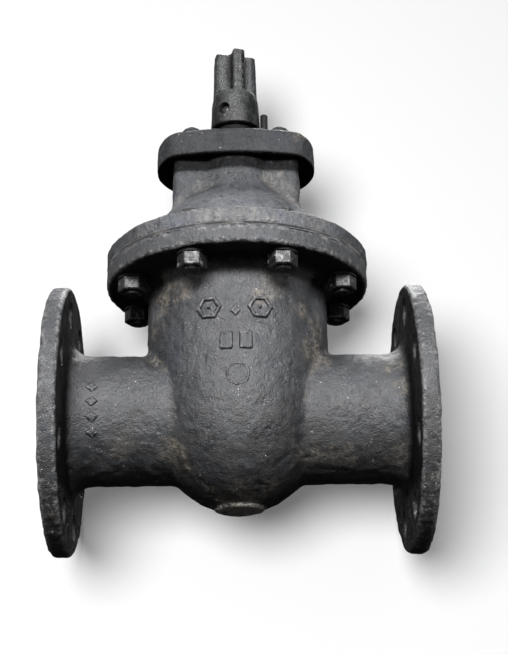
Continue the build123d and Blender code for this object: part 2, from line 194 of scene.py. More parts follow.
def mesh_object(name, points, faces, closed=True):
    """A new object from points in mm; a closed one gets outward normals and no loose points."""
    mesh = bpy.data.meshes.new(name)
    mesh.from_pydata((np.asarray(points) / 1000).tolist(), [], faces)
    mesh.update()
    if closed:
        bm = bmesh.new()
        bm.from_mesh(mesh)
        loose = [vert for vert in bm.verts if not vert.link_faces]
        bmesh.ops.delete(bm, geom=loose, context="VERTS")
        bmesh.ops.recalc_face_normals(bm, faces=bm.faces)
        bm.to_mesh(mesh)
        bm.free()
        shade_smooth(mesh)
    ob = bpy.data.objects.new(name, mesh)
    scene.collection.objects.link(ob)
    return ob


def attach(ob, material, rides, replaces=None):
    ob.data.materials.append(material)
    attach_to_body(ob, rides)
    if replaces:
        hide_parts(replaces)


# ---------------------------------------------------------------- node helpers
class Graph:
    """Short calls that build the node tree of a material or world."""

    def __init__(self, owner):
        owner.use_nodes = True
        self.tree = owner.node_tree
        self.tree.nodes.clear()

    def node(self, kind, inputs=None, **settings):
        """Adds a node and gives its outputs. Inputs are values or other nodes' outputs."""
        new = self.tree.nodes.new("ShaderNode" + kind)
        for name, value in settings.items():
            setattr(new, name, value)
        for key, value in (inputs or {}).items():
            if isinstance(value, bpy.types.NodeSocket):
                self.tree.links.new(value, new.inputs[key])
            elif value is not None:
                new.inputs[key].default_value = value
        return new.outputs

    def ramp(self, value, lo, hi, at_lo=0.0, at_hi=1.0):
        return self.node("MapRange", {
            "Value": value, "From Min": lo, "From Max": hi, "To Min": at_lo, "To Max": at_hi,
        }, clamp=True, interpolation_type="SMOOTHSTEP")["Result"]

    def calc(self, operation, a, b=0.0, clamp=False):
        return self.node("Math", {0: a, 1: b}, operation=operation, use_clamp=clamp)[0]

    def mul(self, a, b):
        return self.calc("MULTIPLY", a, b)

    def add(self, a, b):
        return self.calc("ADD", a, b)

    def sep(self, vector):
        return self.node("SeparateXYZ", {0: vector})


class Surface(Graph):
    """A material built up as colour layers over object coordinates in mm."""

    def __init__(self, name):
        self.material = bpy.data.materials.new(name)
        super().__init__(self.material)
        metres = self.node("TexCoord")["Object"]
        self.point = self.node("Mapping", {0: metres, "Scale": (1000, 1000, 1000)})[0]

    def noise(self, wave, detail=4.0, rough=0.55, warp=0.0, vec=None, lo=None, hi=None):
        """Noise of a wavelength in mm, stretched from lo..hi to 0..1 where they are given."""
        value = self.node("TexNoise", {
            "Scale": 1.0 / wave, "Detail": detail, "Roughness": rough, "Distortion": warp,
            "Vector": vec or self.point})["Fac"]
        return value if lo is None else self.ramp(value, lo, hi)

    def cells(self, wave, output="Distance"):
        return self.node("TexVoronoi", {"Scale": 1.0 / wave, "Vector": self.point})[output]

    def mask(self, name):
        return self.node("Attribute", attribute_name=name)["Fac"]

    def mix(self, mask, under, over):
        under, over = [c if isinstance(c, bpy.types.NodeSocket) else (*c, 1.0)
                       for c in (under, over)]
        return self.node("Mix", {0: mask, 6: under, 7: over}, data_type="RGBA")[2]

    def lay(self, mask, colour, strength=None):
        """Covers the colour so far where the mask is high."""
        if strength is not None:
            mask = self.mul(mask, strength)
        self.colour = self.mix(mask, self.colour, colour)

    def bump(self, height, depth, strength, under=None):
        return self.node("Bump", {"Distance": depth / 1000.0, "Strength": strength,
                                  "Height": height, "Normal": under})[0]

    def finish(self, rough, metal, normal, spec):
        shader = self.node("BsdfPrincipled", {
            "Base Color": self.colour, "Roughness": rough, "Metallic": metal,
            "Specular IOR Level": spec, "Normal": normal})[0]
        self.node("OutputMaterial", {0: shader})
        return self.material


def shade(colour, factor):
    return [channel * factor for channel in colour]


# ---------------------------------------------------------------- kinds of material
def cast_paint(name, dark, light, soil, wear=1.0, dust=1.0, speck=1.0, shift=(0, 0, 0),
               machined=True, spec=0.5, rough=(0.38, 0.60), bump=1.0,
               patch=(0.215, 0.185, 0.142)):
    """Old paint on rough iron: mottled, soiled, dusty in the hollows, worn on the edges, and
    darkened with painted shade where the shade mask is high.
    """
    k = Surface(name)
    k.point = k.node("Mapping", {0: k.point, "Location": shift})[0]
    # mottling at falling wavelengths
    big = k.noise(wave=46, detail=5, rough=0.6, warp=0.4, lo=0.34, hi=0.66)
    mid = k.noise(wave=11, detail=6, rough=0.62, warp=0.2, lo=0.32, hi=0.70)
    fine = k.noise(wave=2.1, rough=0.7)
    grain = k.noise(wave=0.75, detail=2, rough=0.6)
    k.colour = k.mix(big, shade(dark, 0.78), shade(light, 0.92))
    k.lay(mid, shade(light, 1.38), strength=0.70)
    k.lay(k.noise(wave=4.6, rough=0.6, warp=0.3, lo=0.54, hi=0.70), shade(dark, 0.45))
    # blue-grey cast here and there
    k.lay(k.noise(wave=30, detail=3, rough=0.5, warp=0.6, lo=0.55, hi=0.78),
          (light[0] * 0.88, light[1], light[2] * 1.22))
    k.lay(k.ramp(fine, lo=0.28, hi=0.72, at_hi=0.62), shade(light, 1.55))
    k.lay(k.ramp(grain, lo=0.56, hi=0.72, at_hi=0.78), shade(dark, 0.35))
    # thin smears
    smear = k.node("Mapping", {"Scale": (1 / 26.0, 1 / 20.0, 1 / 3.2),
                               "Rotation": (0.2, 0.5, 0.9), 0: k.point})[0]
    k.lay(k.noise(wave=1.0, detail=5, rough=0.62, warp=0.5, vec=smear, lo=0.56, hi=0.74),
          shade(light, 1.9), strength=0.22)
    # brown soil, thicker on the lower half
    low = k.ramp(k.sep(k.point)[2], lo=25, hi=-75, at_lo=0.12)
    soiled = k.noise(wave=17, detail=7, rough=0.68, warp=0.8, lo=0.40, hi=0.66)
    soiled = k.mul(k.mul(soiled, low), soil)
    k.lay(soiled, (0.026, 0.0230, 0.0190))
    k.lay(k.mul(k.noise(wave=6.5, detail=6, rough=0.7, lo=0.52, hi=0.68), low),
          (0.082, 0.073, 0.058), strength=soil * 0.5)
    # dust in the hollows and in the patches
    dusty = k.noise(wave=5.0, detail=6, rough=0.7, warp=0.5, lo=0.36, hi=0.66)
    dusty = k.ramp(k.mul(k.mask("hollow"), dusty), lo=0.18, hi=0.75)
    dusty = k.mul(dusty, 0.62 * dust)
    k.lay(dusty, (0.150, 0.130, 0.098))
    broken = k.noise(wave=3.4, detail=7, rough=0.80, warp=0.5, lo=0.40, hi=0.62)
    k.lay(k.mul(k.mask("patch"), broken), patch, strength=0.80)
    # worn edges
    worn = k.noise(wave=4.2, detail=6, rough=0.72, warp=0.4, lo=0.38, hi=0.62)
    worn = k.mul(k.ramp(k.mul(k.mask("edge"), worn), lo=0.22, hi=0.72), 0.60 * wear)
    k.lay(worn, (0.215, 0.212, 0.205))
    # chipped light flecks, then white specks in a few of the cells
    chip = k.noise(wave=1.7, detail=3, rough=0.7, warp=0.2, lo=0.655, hi=0.715)
    k.lay(k.mul(chip, k.noise(wave=17, rough=0.6, lo=0.46, hi=0.60)),
          (0.30, 0.295, 0.275), strength=0.65 * speck)
    dot = k.ramp(k.cells(wave=4.6), lo=0.110, hi=0.05)
    chosen = k.ramp(k.sep(k.cells(wave=4.6, output="Color"))[0], lo=0.865, hi=0.875)
    k.lay(k.mul(dot, chosen), (0.62, 0.60, 0.56), strength=0.62 * speck)
    if machined:
        rust = k.mix(k.noise(wave=8, detail=5, rough=0.65, lo=0.35, hi=0.65),
                     (0.060, 0.040, 0.026), (0.115, 0.105, 0.095))
        k.lay(k.ramp(k.mask("skin"), lo=0.45, hi=0.05, at_hi=0.75), rust)
    # painted shade in the sheltered corners, which also dims the specular, then pale bare places
    painted_shade = k.mask("painted_shade")
    k.lay(k.mul(painted_shade, k.noise(wave=6, detail=5, rough=0.65, lo=0.20, hi=0.42)),
          shade(dark, 0.22))
    bare = k.add(k.noise(wave=3.0, detail=7, rough=0.85, warp=0.5), 0.06)
    bare = k.ramp(k.mul(k.mask("pale"), bare), lo=0.47, hi=0.60)
    k.lay(bare, k.mix(k.noise(wave=2.2, rough=0.7), (0.42, 0.385, 0.34), (0.92, 0.89, 0.82)),
          strength=0.95)
    # rougher where dirty, smoother where worn
    gloss = k.ramp(k.add(k.mul(fine, 0.6), k.mul(mid, 0.4)), lo=0.2, hi=0.8,
                   at_lo=rough[0], at_hi=rough[1])
    gloss = k.calc("ADD", gloss, k.mul(k.add(dusty, soiled), 0.25), clamp=True)
    gloss = k.calc("SUBTRACT", gloss, k.mul(worn, 0.12))
    lumps = k.mul(k.noise(wave=3.3, detail=5, rough=0.66), 1.0)
    pits = k.ramp(k.cells(wave=2.3), lo=0.0, hi=0.42)
    height = k.add(k.add(lumps, k.mul(grain, 0.40)), k.mul(pits, 0.22))
    return k.finish(rough=gloss, metal=0.0, normal=k.bump(height, depth=bump, strength=0.9),
                    spec=k.ramp(painted_shade, lo=0.0, hi=1.0, at_lo=spec, at_hi=spec * 0.18))


def steel(name, base, dark, worn, rough, metal, thread=None, spec=0.5):
    """Dull or dirty steel whose corners have worn bright; thread is a pitch in mm."""
    k = Surface(name)
    blotch = k.noise(wave=3.0, detail=5, rough=0.65, warp=0.3, lo=0.35, hi=0.65)
    grain = k.noise(wave=0.8, detail=3, rough=0.6)
    k.colour = k.mix(blotch, dark, base)
    k.lay(k.ramp(grain, lo=0.52, hi=0.72, at_hi=0.6), shade(dark, 0.4))
    corner = k.ramp(k.node("NewGeometry")["Pointiness"], lo=0.53, hi=0.62)
    k.lay(k.mul(corner, k.noise(wave=1.6, rough=0.7, lo=0.40, hi=0.58)), worn)
    k.lay(k.noise(wave=5.5, detail=3, rough=0.6, warp=0.4, lo=0.58, hi=0.68), worn,
          strength=0.60)
    height = k.add(k.mul(k.noise(wave=1.6, rough=0.6), 1.0), k.mul(grain, 0.4))
    normal = k.bump(height, depth=0.22, strength=0.8)
    if thread:
        ridges = k.node("TexWave", {"Scale": TURN / 20.0 / thread, "Vector": k.point},
                        bands_direction="Z")["Fac"]
        normal = k.bump(ridges, depth=0.35, strength=0.7, under=normal)
    gloss = k.ramp(blotch, lo=0, hi=1, at_lo=rough - 0.08, at_hi=rough + 0.16)
    return k.finish(rough=gloss, metal=metal, normal=normal, spec=spec)


def turned_metal(name, base, tint, rough, pitch=0.35):
    """Turned metal with fine tool lines and patches of tarnish."""
    k = Surface(name)
    tarnish = k.noise(wave=7, detail=6, rough=0.65, warp=0.5, lo=0.35, hi=0.68)
    k.colour = k.mix(tarnish, base, tint)
    k.lay(k.noise(wave=1.4, rough=0.7, lo=0.56, hi=0.70), shade(tint, 0.45), strength=0.5)
    x, y, z = k.sep(k.point)
    radius = k.calc("SQRT", k.add(k.mul(x, x), k.mul(y, y)))
    lines = k.calc("SINE", k.mul(k.add(radius, z), TURN / pitch))
    height = k.add(k.mul(lines, 0.3), k.noise(wave=0.9, detail=3, rough=0.6))
    return k.finish(rough=k.ramp(tarnish, lo=0, hi=1, at_lo=rough, at_hi=rough + 0.25),
                    metal=0.9, normal=k.bump(height, depth=0.05, strength=0.7), spec=0.5)


def soft(name, low, high, rough=0.75, dusty=0.0, spec=0.35):
    """Rubber or packing: matte and slightly uneven."""
    k = Surface(name)
    k.colour = k.mix(k.noise(wave=5, detail=6, rough=0.65, lo=0.36, hi=0.66), low, high)
    if dusty:
        k.lay(k.noise(wave=16, detail=5, rough=0.72, warp=0.8, lo=0.50, hi=0.60),
              (0.42, 0.38, 0.31), strength=dusty)
    normal = k.bump(k.noise(wave=0.9, rough=0.6), depth=0.12, strength=0.7)
    gloss = k.ramp(k.noise(wave=2, detail=3), lo=0.3, hi=0.7,
                   at_lo=rough - 0.1, at_hi=rough + 0.1)
    return k.finish(rough=gloss, metal=0.0, normal=normal, spec=spec)


# ---------------------------------------------------------------- materials
BODY_PAINT = cast_paint(
    "cast_body_paint", dark=(0.0098, 0.0103, 0.0112), light=(0.0285, 0.0295, 0.0322),
    soil=0.9, wear=0.9, speck=1.6, spec=0.78, bump=1.05)
BONNET_PAINT = cast_paint(
    "cast_bonnet_paint", dark=(0.022, 0.0228, 0.0245), light=(0.079, 0.0813, 0.0867),
    soil=0.25, speck=1.3, spec=0.70, bump=1.45, shift=(37, 11, 5),
    patch=(0.245, 0.229, 0.207))
COVER_PAINT = cast_paint(
    "cast_cover_paint", dark=(0.0045, 0.0047, 0.0052), light=(0.031, 0.0320, 0.0345),
    soil=0.3, wear=0.8, shift=(3, 71, 19), speck=1.5, spec=0.34, rough=(0.42, 0.64),
    bump=1.5)
CAP_PAINT = cast_paint(
    "cast_cap_paint", dark=(0.0045, 0.0047, 0.0047), light=(0.044, 0.0448, 0.0444),
    soil=0.10, wear=1.7, dust=0.1, speck=1.5, shift=(5, 9, 43), rough=(0.28, 0.46))
BARE_IRON = cast_paint(
    "bare_cast_iron", dark=(0.050, 0.046, 0.040), light=(0.095, 0.088, 0.078),
    soil=0.5, machined=False)
DARK_STEEL = steel(
    "dark_fastener_steel", base=(0.0115, 0.0118, 0.0125), dark=(0.004, 0.004, 0.0045),
    worn=(0.26, 0.255, 0.245), rough=0.34, metal=0.15, spec=0.34)
BOLT_STEEL = steel(
    "bolt_steel", base=(0.024, 0.023, 0.022), dark=(0.009, 0.0085, 0.008),
    worn=(0.20, 0.19, 0.175), rough=0.40, metal=0.20, thread=1.75, spec=0.3)
SCREW_STEEL = steel(
    "set_screw_steel", base=(0.085, 0.084, 0.080), dark=(0.030, 0.030, 0.029),
    worn=(0.26, 0.26, 0.25), rough=0.40, metal=0.4)
# painted shade: a darker, duller copy of the fastener steel, with dim wear and little specular,
# for the washers under the flange and the studs and nuts under the cap
SHADED_STEEL = steel(
    "shaded_fastener_steel", base=(0.014, 0.014, 0.015), dark=(0.005, 0.005, 0.005),
    worn=(0.060, 0.058, 0.055), rough=0.55, metal=0.10, spec=0.2)
BRONZE = turned_metal("bronze", base=(0.60, 0.39, 0.17), tint=(0.33, 0.22, 0.10), rough=0.28)
STEM_STEEL = turned_metal(
    "stem_steel", base=(0.56, 0.56, 0.54), tint=(0.34, 0.33, 0.31), rough=0.24)
GASKET = soft(
    "gasket_rubber", low=(0.008, 0.008, 0.008), high=(0.024, 0.0235, 0.022), dusty=0.10)
SEAL = soft("seal_rubber", low=(0.004, 0.004, 0.004), high=(0.010, 0.010, 0.0095), spec=0.12)
GLAND_PAINT = cast_paint(
    "gland_iron_paint", dark=(0.0040, 0.0040, 0.0042), light=(0.010, 0.0102, 0.0105),
    soil=0.0, wear=0.3, dust=0.2, machined=False, spec=0.15)
PACKING = soft("packing", low=(0.10, 0.085, 0.055), high=(0.19, 0.165, 0.12))

# ---------------------------------------------------------------- castings
SKIN_WAVES = ((14.0, 0.95), (5.5, 0.85), (2.6, 0.30))  # wavelength, height of the cast skin
PIT_WAVE, PIT_DEPTH = 3.4, 0.5


def cast_skin(net, skin, height, seed, patches=(), painted_shade=0, pale=0, painted_hollow_shade=0.0):
    """Roughens the surface and stores its masks. Skin is 1 where cast and 0 where machined. The
    shade mask is painted shade, given directly and added in the recesses.
    """
    points = net.co.copy()
    normals = net.normals()
    bumps = sum((value_noise(points / wave, seed + i) - 0.5) * size
                for i, (wave, size) in enumerate(SKIN_WAVES))
    bumps -= PIT_DEPTH * ease(0.78, 0.93, value_noise(points / PIT_WAVE, seed + 3))
    net.co += normals * (bumps * (skin * height))[:, None]
    depth = net.depth(normals, pick(14))
    for _ in range(4):
        depth = 0.35 * depth + 0.65 * net.average(depth)
    net.write()
    ragged = (0.65 * value_noise(points / 6.0, seed + 7)
              + 0.35 * value_noise(points / 2.2, seed + 8))
    patch = np.zeros(len(points))
    for x, y, z, reach, strength in patches:
        away = np.linalg.norm(points - np.array([x, y, z]), axis=1) / reach
        spot = ease(0.30, 0.62, ragged * ease(1.25, 0.25, away) * 1.25)
        patch = np.maximum(patch, strength * spot)
    # the recesses get painted shade as well as dust
    store_masks(net.mesh, hollow=np.clip(depth / 0.55, 0, 1),
                edge=np.clip((-depth - 0.12) / 0.75, 0, 1), skin=skin, patch=patch,
                painted_shade=np.maximum(painted_shade, np.clip(depth / 0.16, 0, 1) * painted_hollow_shade), pale=pale)
    shade_smooth(net.mesh)


# outside of the body's chamber: height, half width along X, half depth along Y
CHAMBER = np.array([
    (-69, 9, 10), (-66.5, 18.5, 20), (-60, 32.5, 35.8), (-50, 45, 49.3),
    (-35, 55.3, 60.6), (-18, 61.6, 67.6), (0, 64.6, 69.8), (25, 66.9, 69.6),
    (38, 67.9, 69.0), (48, 68.3, 68.35), (58.0, 68.3, 68.3)])
# dust patches on each casting: x, y, z, reach, strength
BODY_PATCHES = [
    (-54, -42, 84, 26, 1.0), (-62, -32, 66, 20, 0.9), (-44, -53, 93, 16, 0.9),
    (26, -62, 84, 15, 0.55), (60, -38, 60, 16, 0.8), (57, -42, 40, 20, 0.85),
    (64, -26, 28, 18, 0.7), (-48, -42, -38, 18, 0.8), (-44, -40, -52, 16, 0.7),
    (112, -46, 30, 14, 0.75), (119, -50, 8, 12, 0.6), (52, -40, -42, 22, 0.75),
    (74, -34, -38, 18, 0.5), (-112, -46, 34, 12, 0.45), (0, -20, -69, 26, 0.8),
    (116, -40, -42, 20, 0.6), (-84, -40, -34, 16, 0.35), (2, -36, -59.5, 6, 1.3),
    (-21, -29, -57, 8, 1.1), (22, -29, -59, 9, 1.2), (-43, -33, -48, 13, 1.0),
    (-40, -58, 82, 12, 1.0), (18, -67, 72, 12, 0.7), (44, -50, 66, 12, 0.7)]
BONNET_PATCHES = [
    (-47, -27, 163, 15, 0.75), (30, -30, 186, 15, 1.0), (44, -28, 170, 20, 0.9),
    (-26, -31, 178, 12, 0.7), (0, -98, 130, 26, 0.55), (16, -97, 118, 20, 0.7),
    (-20, -97, 128, 22, 0.75), (-70, -70, 119, 20, 0.4), (60, -80, 119, 24, 0.5)]
COVER_PATCHES = [(48, -30, 222, 10, 0.4)]
BRANCH_RADIUS = 48.6  # pipe wall where it meets the chamber
FILLET_REACH = 4.2


def build_body():
    body = remeshed("valve_body", "valve_body_casting", voxel=pick(1.55))
    net = Net(body.data)
    net.taubin(6)
    x, y, z = net.co.T
    pipe_r, along, stem_r = net.radii()
    heights, half_x, half_y = CHAMBER.T
    half_x = np.interp(z, heights, half_x)
    half_y = np.interp(z, heights, half_y)
    gap = (np.sqrt((x / half_x) ** 2 + (y / half_y) ** 2) - 1) * np.sqrt(half_x * half_y)
    # fillet where the pipe branches leave the chamber
    off_corner = (pipe_r - BRANCH_RADIUS) ** 2 + gap ** 2
    outside = (pipe_r > 46.5) & (gap > -3.0) & (along < 110) & (z < 100)
    net.smooth(pick(20), np.where(outside, np.exp(-off_corner / (FILLET_REACH ** 2)), 0.0),
               rate=0.6)
    # soften the flare behind the pipe flanges, then under the round flange
    net.smooth(14, 0.8 * (between(pipe_r, 45, 64) & between(along, 108, 125)))
    net.smooth(10, 0.8 * (between(stem_r, 64, 78) & between(z, 90, 103.2)))

    pipe_r, along, stem_r = net.radii()
    skin = np.ones(len(z))
    skin *= 1 - ease(136.6, 137.2, along) * (pipe_r < 68.5)  # raised faces
    skin[(pipe_r < 41.8) & (along > 20)] = 0  # bore
    skin *= 1 - ease(115.2, 115.8, z)  # joint face
    skin[(gap < -4) & (along < 62) & (z < 115) & (stem_r < 62)] *= 0.6  # inside the chamber
    # painted shade behind the pipe flanges, under the round flange, as the round flange's painted
    # shadow down the chamber's top, and on the flange's ends
    under_flange = ease(104.5, 103.0, z)
    painted_shade = np.maximum.reduce([
        ease(110, 121, along) * ease(125.5, 123.6, along)
        * ease(50, 58, pipe_r) * ease(99.5, 97.0, pipe_r),
        ease(99.5, 101.5, z) * under_flange
        * ease(70, 76, stem_r) * ease(99.5, 97, stem_r) * 0.9,
        ease(88.5, 95.5, z) * under_flange * ease(96, 84, stem_r) * 0.85,
        0.34 * ease(42, 90, along) * ease(96, 98.5, stem_r) * (z > 101)])
    # pale on the foot, most of all on its middle
    pale = np.maximum(ease(-64.0, -67.5, z) * ease(26, 19, np.hypot(x - 2, y * 0.9)),
                      0.79 * ease(-50, -62, z))
    cast_skin(net, skin, np.where(along > 120, 0.95, 1.0), 11, BODY_PATCHES, painted_shade, pale)
    trim(body, 196000)
    attach(body, BODY_PAINT, "casing", "valve_body")
    return body


def build_bonnet():
    bonnet = remeshed("bonnet", "bonnet_casting", voxel=pick(1.25))
    net = Net(bonnet.data)
    net.taubin(6)
    x, y, z = net.co.T
    stem_r = net.radii()[2]
    # soften where the neck rises from the dome, then the valleys of the neck
    net.smooth(12, 0.8 * ((stem_r > 33) & between(z, 131.5, 201)))
    net.smooth(18, 0.8 * (between(z, 160, 202.2) & between(stem_r, 30, 62)))

    _, along, stem_r = net.radii()
    # machined: the joint face, the top and the inside of the neck
    skin = ease(117.9, 118.6, z) * (1 - ease(202.0, 202.6, z))
    skin[(stem_r < 30) & (z > 150)] = 0
    # painted shade under the top, on the joint face, up the neck and on the flange's ends
    painted_shade = (ease(191.0, 197.0, z) * (z < 203.3) + ease(117.9, 117.0, z)
            + 0.42 * ease(160, 174, z))
    painted_shade = np.maximum(painted_shade, 0.46 * ease(42, 90, along) * ease(90, 97, stem_r) * (z < 132))
    # pale chips on the front of the flange's rim: a long one above, a short one below
    upper = (0.86 * ease(128.4, 129.4, z) * ease(96.8, 98.0, stem_r)
             * ease(-58, -38, x) * ease(40, 14, x))
    lower = (0.54 * ease(96, 98, stem_r) * ease(116, 119, z)
             * ease(-40, -25, x) * ease(4, -8, x))
    pale = np.maximum(upper, lower) * (y < 0)
    cast_skin(net, skin, 1.0, 23, BONNET_PATCHES, np.clip(painted_shade, 0, 1), pale)
    trim(bonnet, 150000)
    attach(bonnet, BONNET_PAINT, "casing", "bonnet")
    return bonnet


def build_cover():
    cover = remeshed("cover_plate", "cover_casting", voxel=pick(0.9))
    net = Net(cover.data)
    net.taubin(3)
    z = net.co[:, 2]
    stem_r = net.radii()[2]
    skin = np.where((stem_r < 19) | (z < 204.3), 0.0, 1.0)  # bore and underside machined
    # painted shade on the plate's lowest 2 mm and its underside
    cast_skin(net, skin, 0.6, 31, COVER_PATCHES, painted_shade=ease(206.6, 204.6, z))
    trim(cover, 90000)
    attach(cover, COVER_PAINT, "casing", "cover_plate")
    return cover


def build_cap():
    cap = remeshed("stem_cap", "drive_cap_casting", voxel=pick(0.5))
    net = Net(cap.data)
    net.taubin(4)
    x, y, z = net.co.T
    net.smooth(4, np.where(between(z, 268, 280), 0.9, 0.25))
    stem_r = net.radii()[2]
    # machined in the stem's bore and in the wider recess below it
    skin = np.where(((stem_r < 8.0) & (z < 276)) | ((stem_r < 16.8) & (z < 247.4)), 0.0, 1.0)
    # painted shade below the top, heavier away from the middle
    below = ease(273, 269, z)
    painted_shade = 0.60 * below * ease(5, 15, np.abs(x + 1)) + 0.22 * below
    # four bands of painted shade across the front of the top
    bands = np.maximum.reduce([
        0.80 * ease(-4.8, -3.4, x) * ease(-0.6, -1.8, x),
        0.90 * ease(4.8, 5.8, x) * ease(8.8, 7.4, x),
        0.62 * ease(-11.8, -13.6, x),
        0.72 * ease(12.4, 14.0, x)])
    painted_shade = np.maximum(painted_shade, ease(271.5, 274.5, z) * (y < 2) * bands)
    painted_shade = painted_shade * (0.55 + 0.45 * ease(0.25, 0.55, value_noise(net.co / 2.0, 97)))
    # painted shade in the recesses as well
    cast_skin(net, skin, 0.40, 41, painted_shade=painted_shade, painted_hollow_shade=0.95)
    trim(cap, 90000)
    attach(cap, CAP_PAINT, "drive", "stem_cap")
    return cap


body = build_body()
bonnet = build_bonnet()
cover = build_cover()
cap = build_cap()

# ---------------------------------------------------------------- paint across the flange joint
BEAD_RADIUS = 100.05
BEAD_LOW, BEAD_HIGH = 115.15, 118.45
BEAD_MID = (BEAD_LOW + BEAD_HIGH) / 2
# section: height, radial offset, share of the crack's fill, radial wobble, height wobble
BEAD_SECTION = np.array([
    (BEAD_LOW - 0.05, -0.55, 0, 0.35, 0), (BEAD_LOW + 0.25, -0.02, 0, 0.35, 0),
    (BEAD_MID - 0.42, 0.04, 0, 0.35, 0.8), (BEAD_MID - 0.14, -0.34, 0.30, 0.35, 0.8),
    (BEAD_MID + 0.14, -0.34, 0.30, 0.35, 0.8), (BEAD_MID + 0.42, 0.04, 0, 0.35, 0.8),
    (BEAD_HIGH - 0.25, -0.02, 0, 0.35, 0), (BEAD_HIGH + 0.05, -0.55, 0, 0.35, 0),
    (BEAD_HIGH - 0.4, -1.6, 0, 0, 0), (BEAD_LOW + 0.4, -1.6, 0, 0, 0)])


def paint_bead(name, seed):
    """A ring of old paint with a hair crack round its middle."""
    segments = pick(1440)
    angle = np.arange(segments) / segments * 2 * math.pi
    x, y = np.cos(angle) * BEAD_RADIUS, np.sin(angle) * BEAD_RADIUS
    wobble = ((plane_noise(x / 9.0, y / 9.0, 0, seed) - 0.5) * 0.5)[:, None]
    fill = ease(0.42, 0.62, plane_noise(x / 13.0, y / 13.0, 3.3, seed + 1))[:, None]
    height, offset, fill_share, radial, axial = BEAD_SECTION.T
    radius = BEAD_RADIUS + offset + fill_share * fill + radial * wobble
    points = np.stack([np.cos(angle)[:, None] * radius, np.sin(angle)[:, None] * radius,
                       height + axial * wobble], 2).reshape(-1, 3)
    n = len(BEAD_SECTION)
    faces = []
    for i in range(segments):
        here, after = i * n, (i + 1) % segments * n
        for j in range(n):
            k = (j + 1) % n
            faces.append((here + j, after + j, after + k, here + k))
    ob = mesh_object(name, points, faces)
    hollow = np.zeros((segments, n))
    hollow[:, 2:6] = 0.9
    # painted shade in the crack, more where it is not filled
    painted_shade = np.zeros((segments, n))
    painted_shade[:, 3:5] = 0.5 * (1 - fill)
    store_masks(ob.data, hollow=hollow.ravel(), painted_shade=painted_shade.ravel())
    attach(ob, BONNET_PAINT, "casing")


paint_bead("joint_paint_bead", seed=77)

# ---------------------------------------------------------------- set screw in the cap
SCREW_ANGLE = math.radians(-120.0)  # about the stem, from +X
SCREW_Z = 255.6
SHANK_RADIUS, DOME_RADIUS = 4.7, 3.5
DOME_BASE, DOME_RISE = 14.3, 2.1  # distance from the stem axis, height of the round head
SCREW_SEGMENTS = 48


def domed_screw(name):
    """A radial screw with a worn round head, turned from (radius, distance out) points."""
    axis = np.array([math.cos(SCREW_ANGLE), math.sin(SCREW_ANGLE), 0])
    side = np.array([-math.sin(SCREW_ANGLE), math.cos(SCREW_ANGLE), 0])
    up = np.array([0, 0, 1])
    dome = [(DOME_RADIUS * math.cos(t), DOME_BASE + DOME_RISE * math.sin(t))
            for t in np.linspace(0, math.pi / 2, 9)[:-1]]
    profile = [(0.0, 10.7), (SHANK_RADIUS, 10.7), (SHANK_RADIUS, 13.2), (DOME_RADIUS, 13.9),
               *dome, (0.0, DOME_BASE + DOME_RISE)]
    points, rings, faces = [], [], []
    for radius, out in profile:
        count = SCREW_SEGMENTS if radius else 1
        rings.append(range(len(points), len(points) + count))
        for i in range(count):
            t = i / SCREW_SEGMENTS * 2 * math.pi
            points.append(axis * out + side * (radius * math.cos(t))
                          + up * (SCREW_Z + radius * math.sin(t)))
    for a, b in zip(rings, rings[1:]):
        for i in range(SCREW_SEGMENTS):
            j = (i + 1) % SCREW_SEGMENTS
            if len(a) == 1:
                faces.append((a[0], b[i], b[j]))
            elif len(b) == 1:
                faces.append((a[i], a[j], b[0]))
            else:
                faces.append((a[i], a[j], b[j], b[i]))
    ob = mesh_object(name, points, faces)
    attach(ob, SCREW_STEEL, "drive", "cap_set_screw")


domed_screw("cap_screw_round_head")

# ---------------------------------------------------------------- plain reliefs on the body
body_surface = BVHTree.FromObject(body, bpy.context.evaluated_depsgraph_get())
# walls round a cell: step to the neighbour, then the two corners of the shared side
CELL_SIDES = ((-1, 0, 3, 0), (1, 0, 1, 2), (0, -1, 0, 1), (0, 1, 2, 3))
PAD_THICKNESS = 2.0
PAD_SINK = 0.5  # how far the flat surround lies under the casting's skin


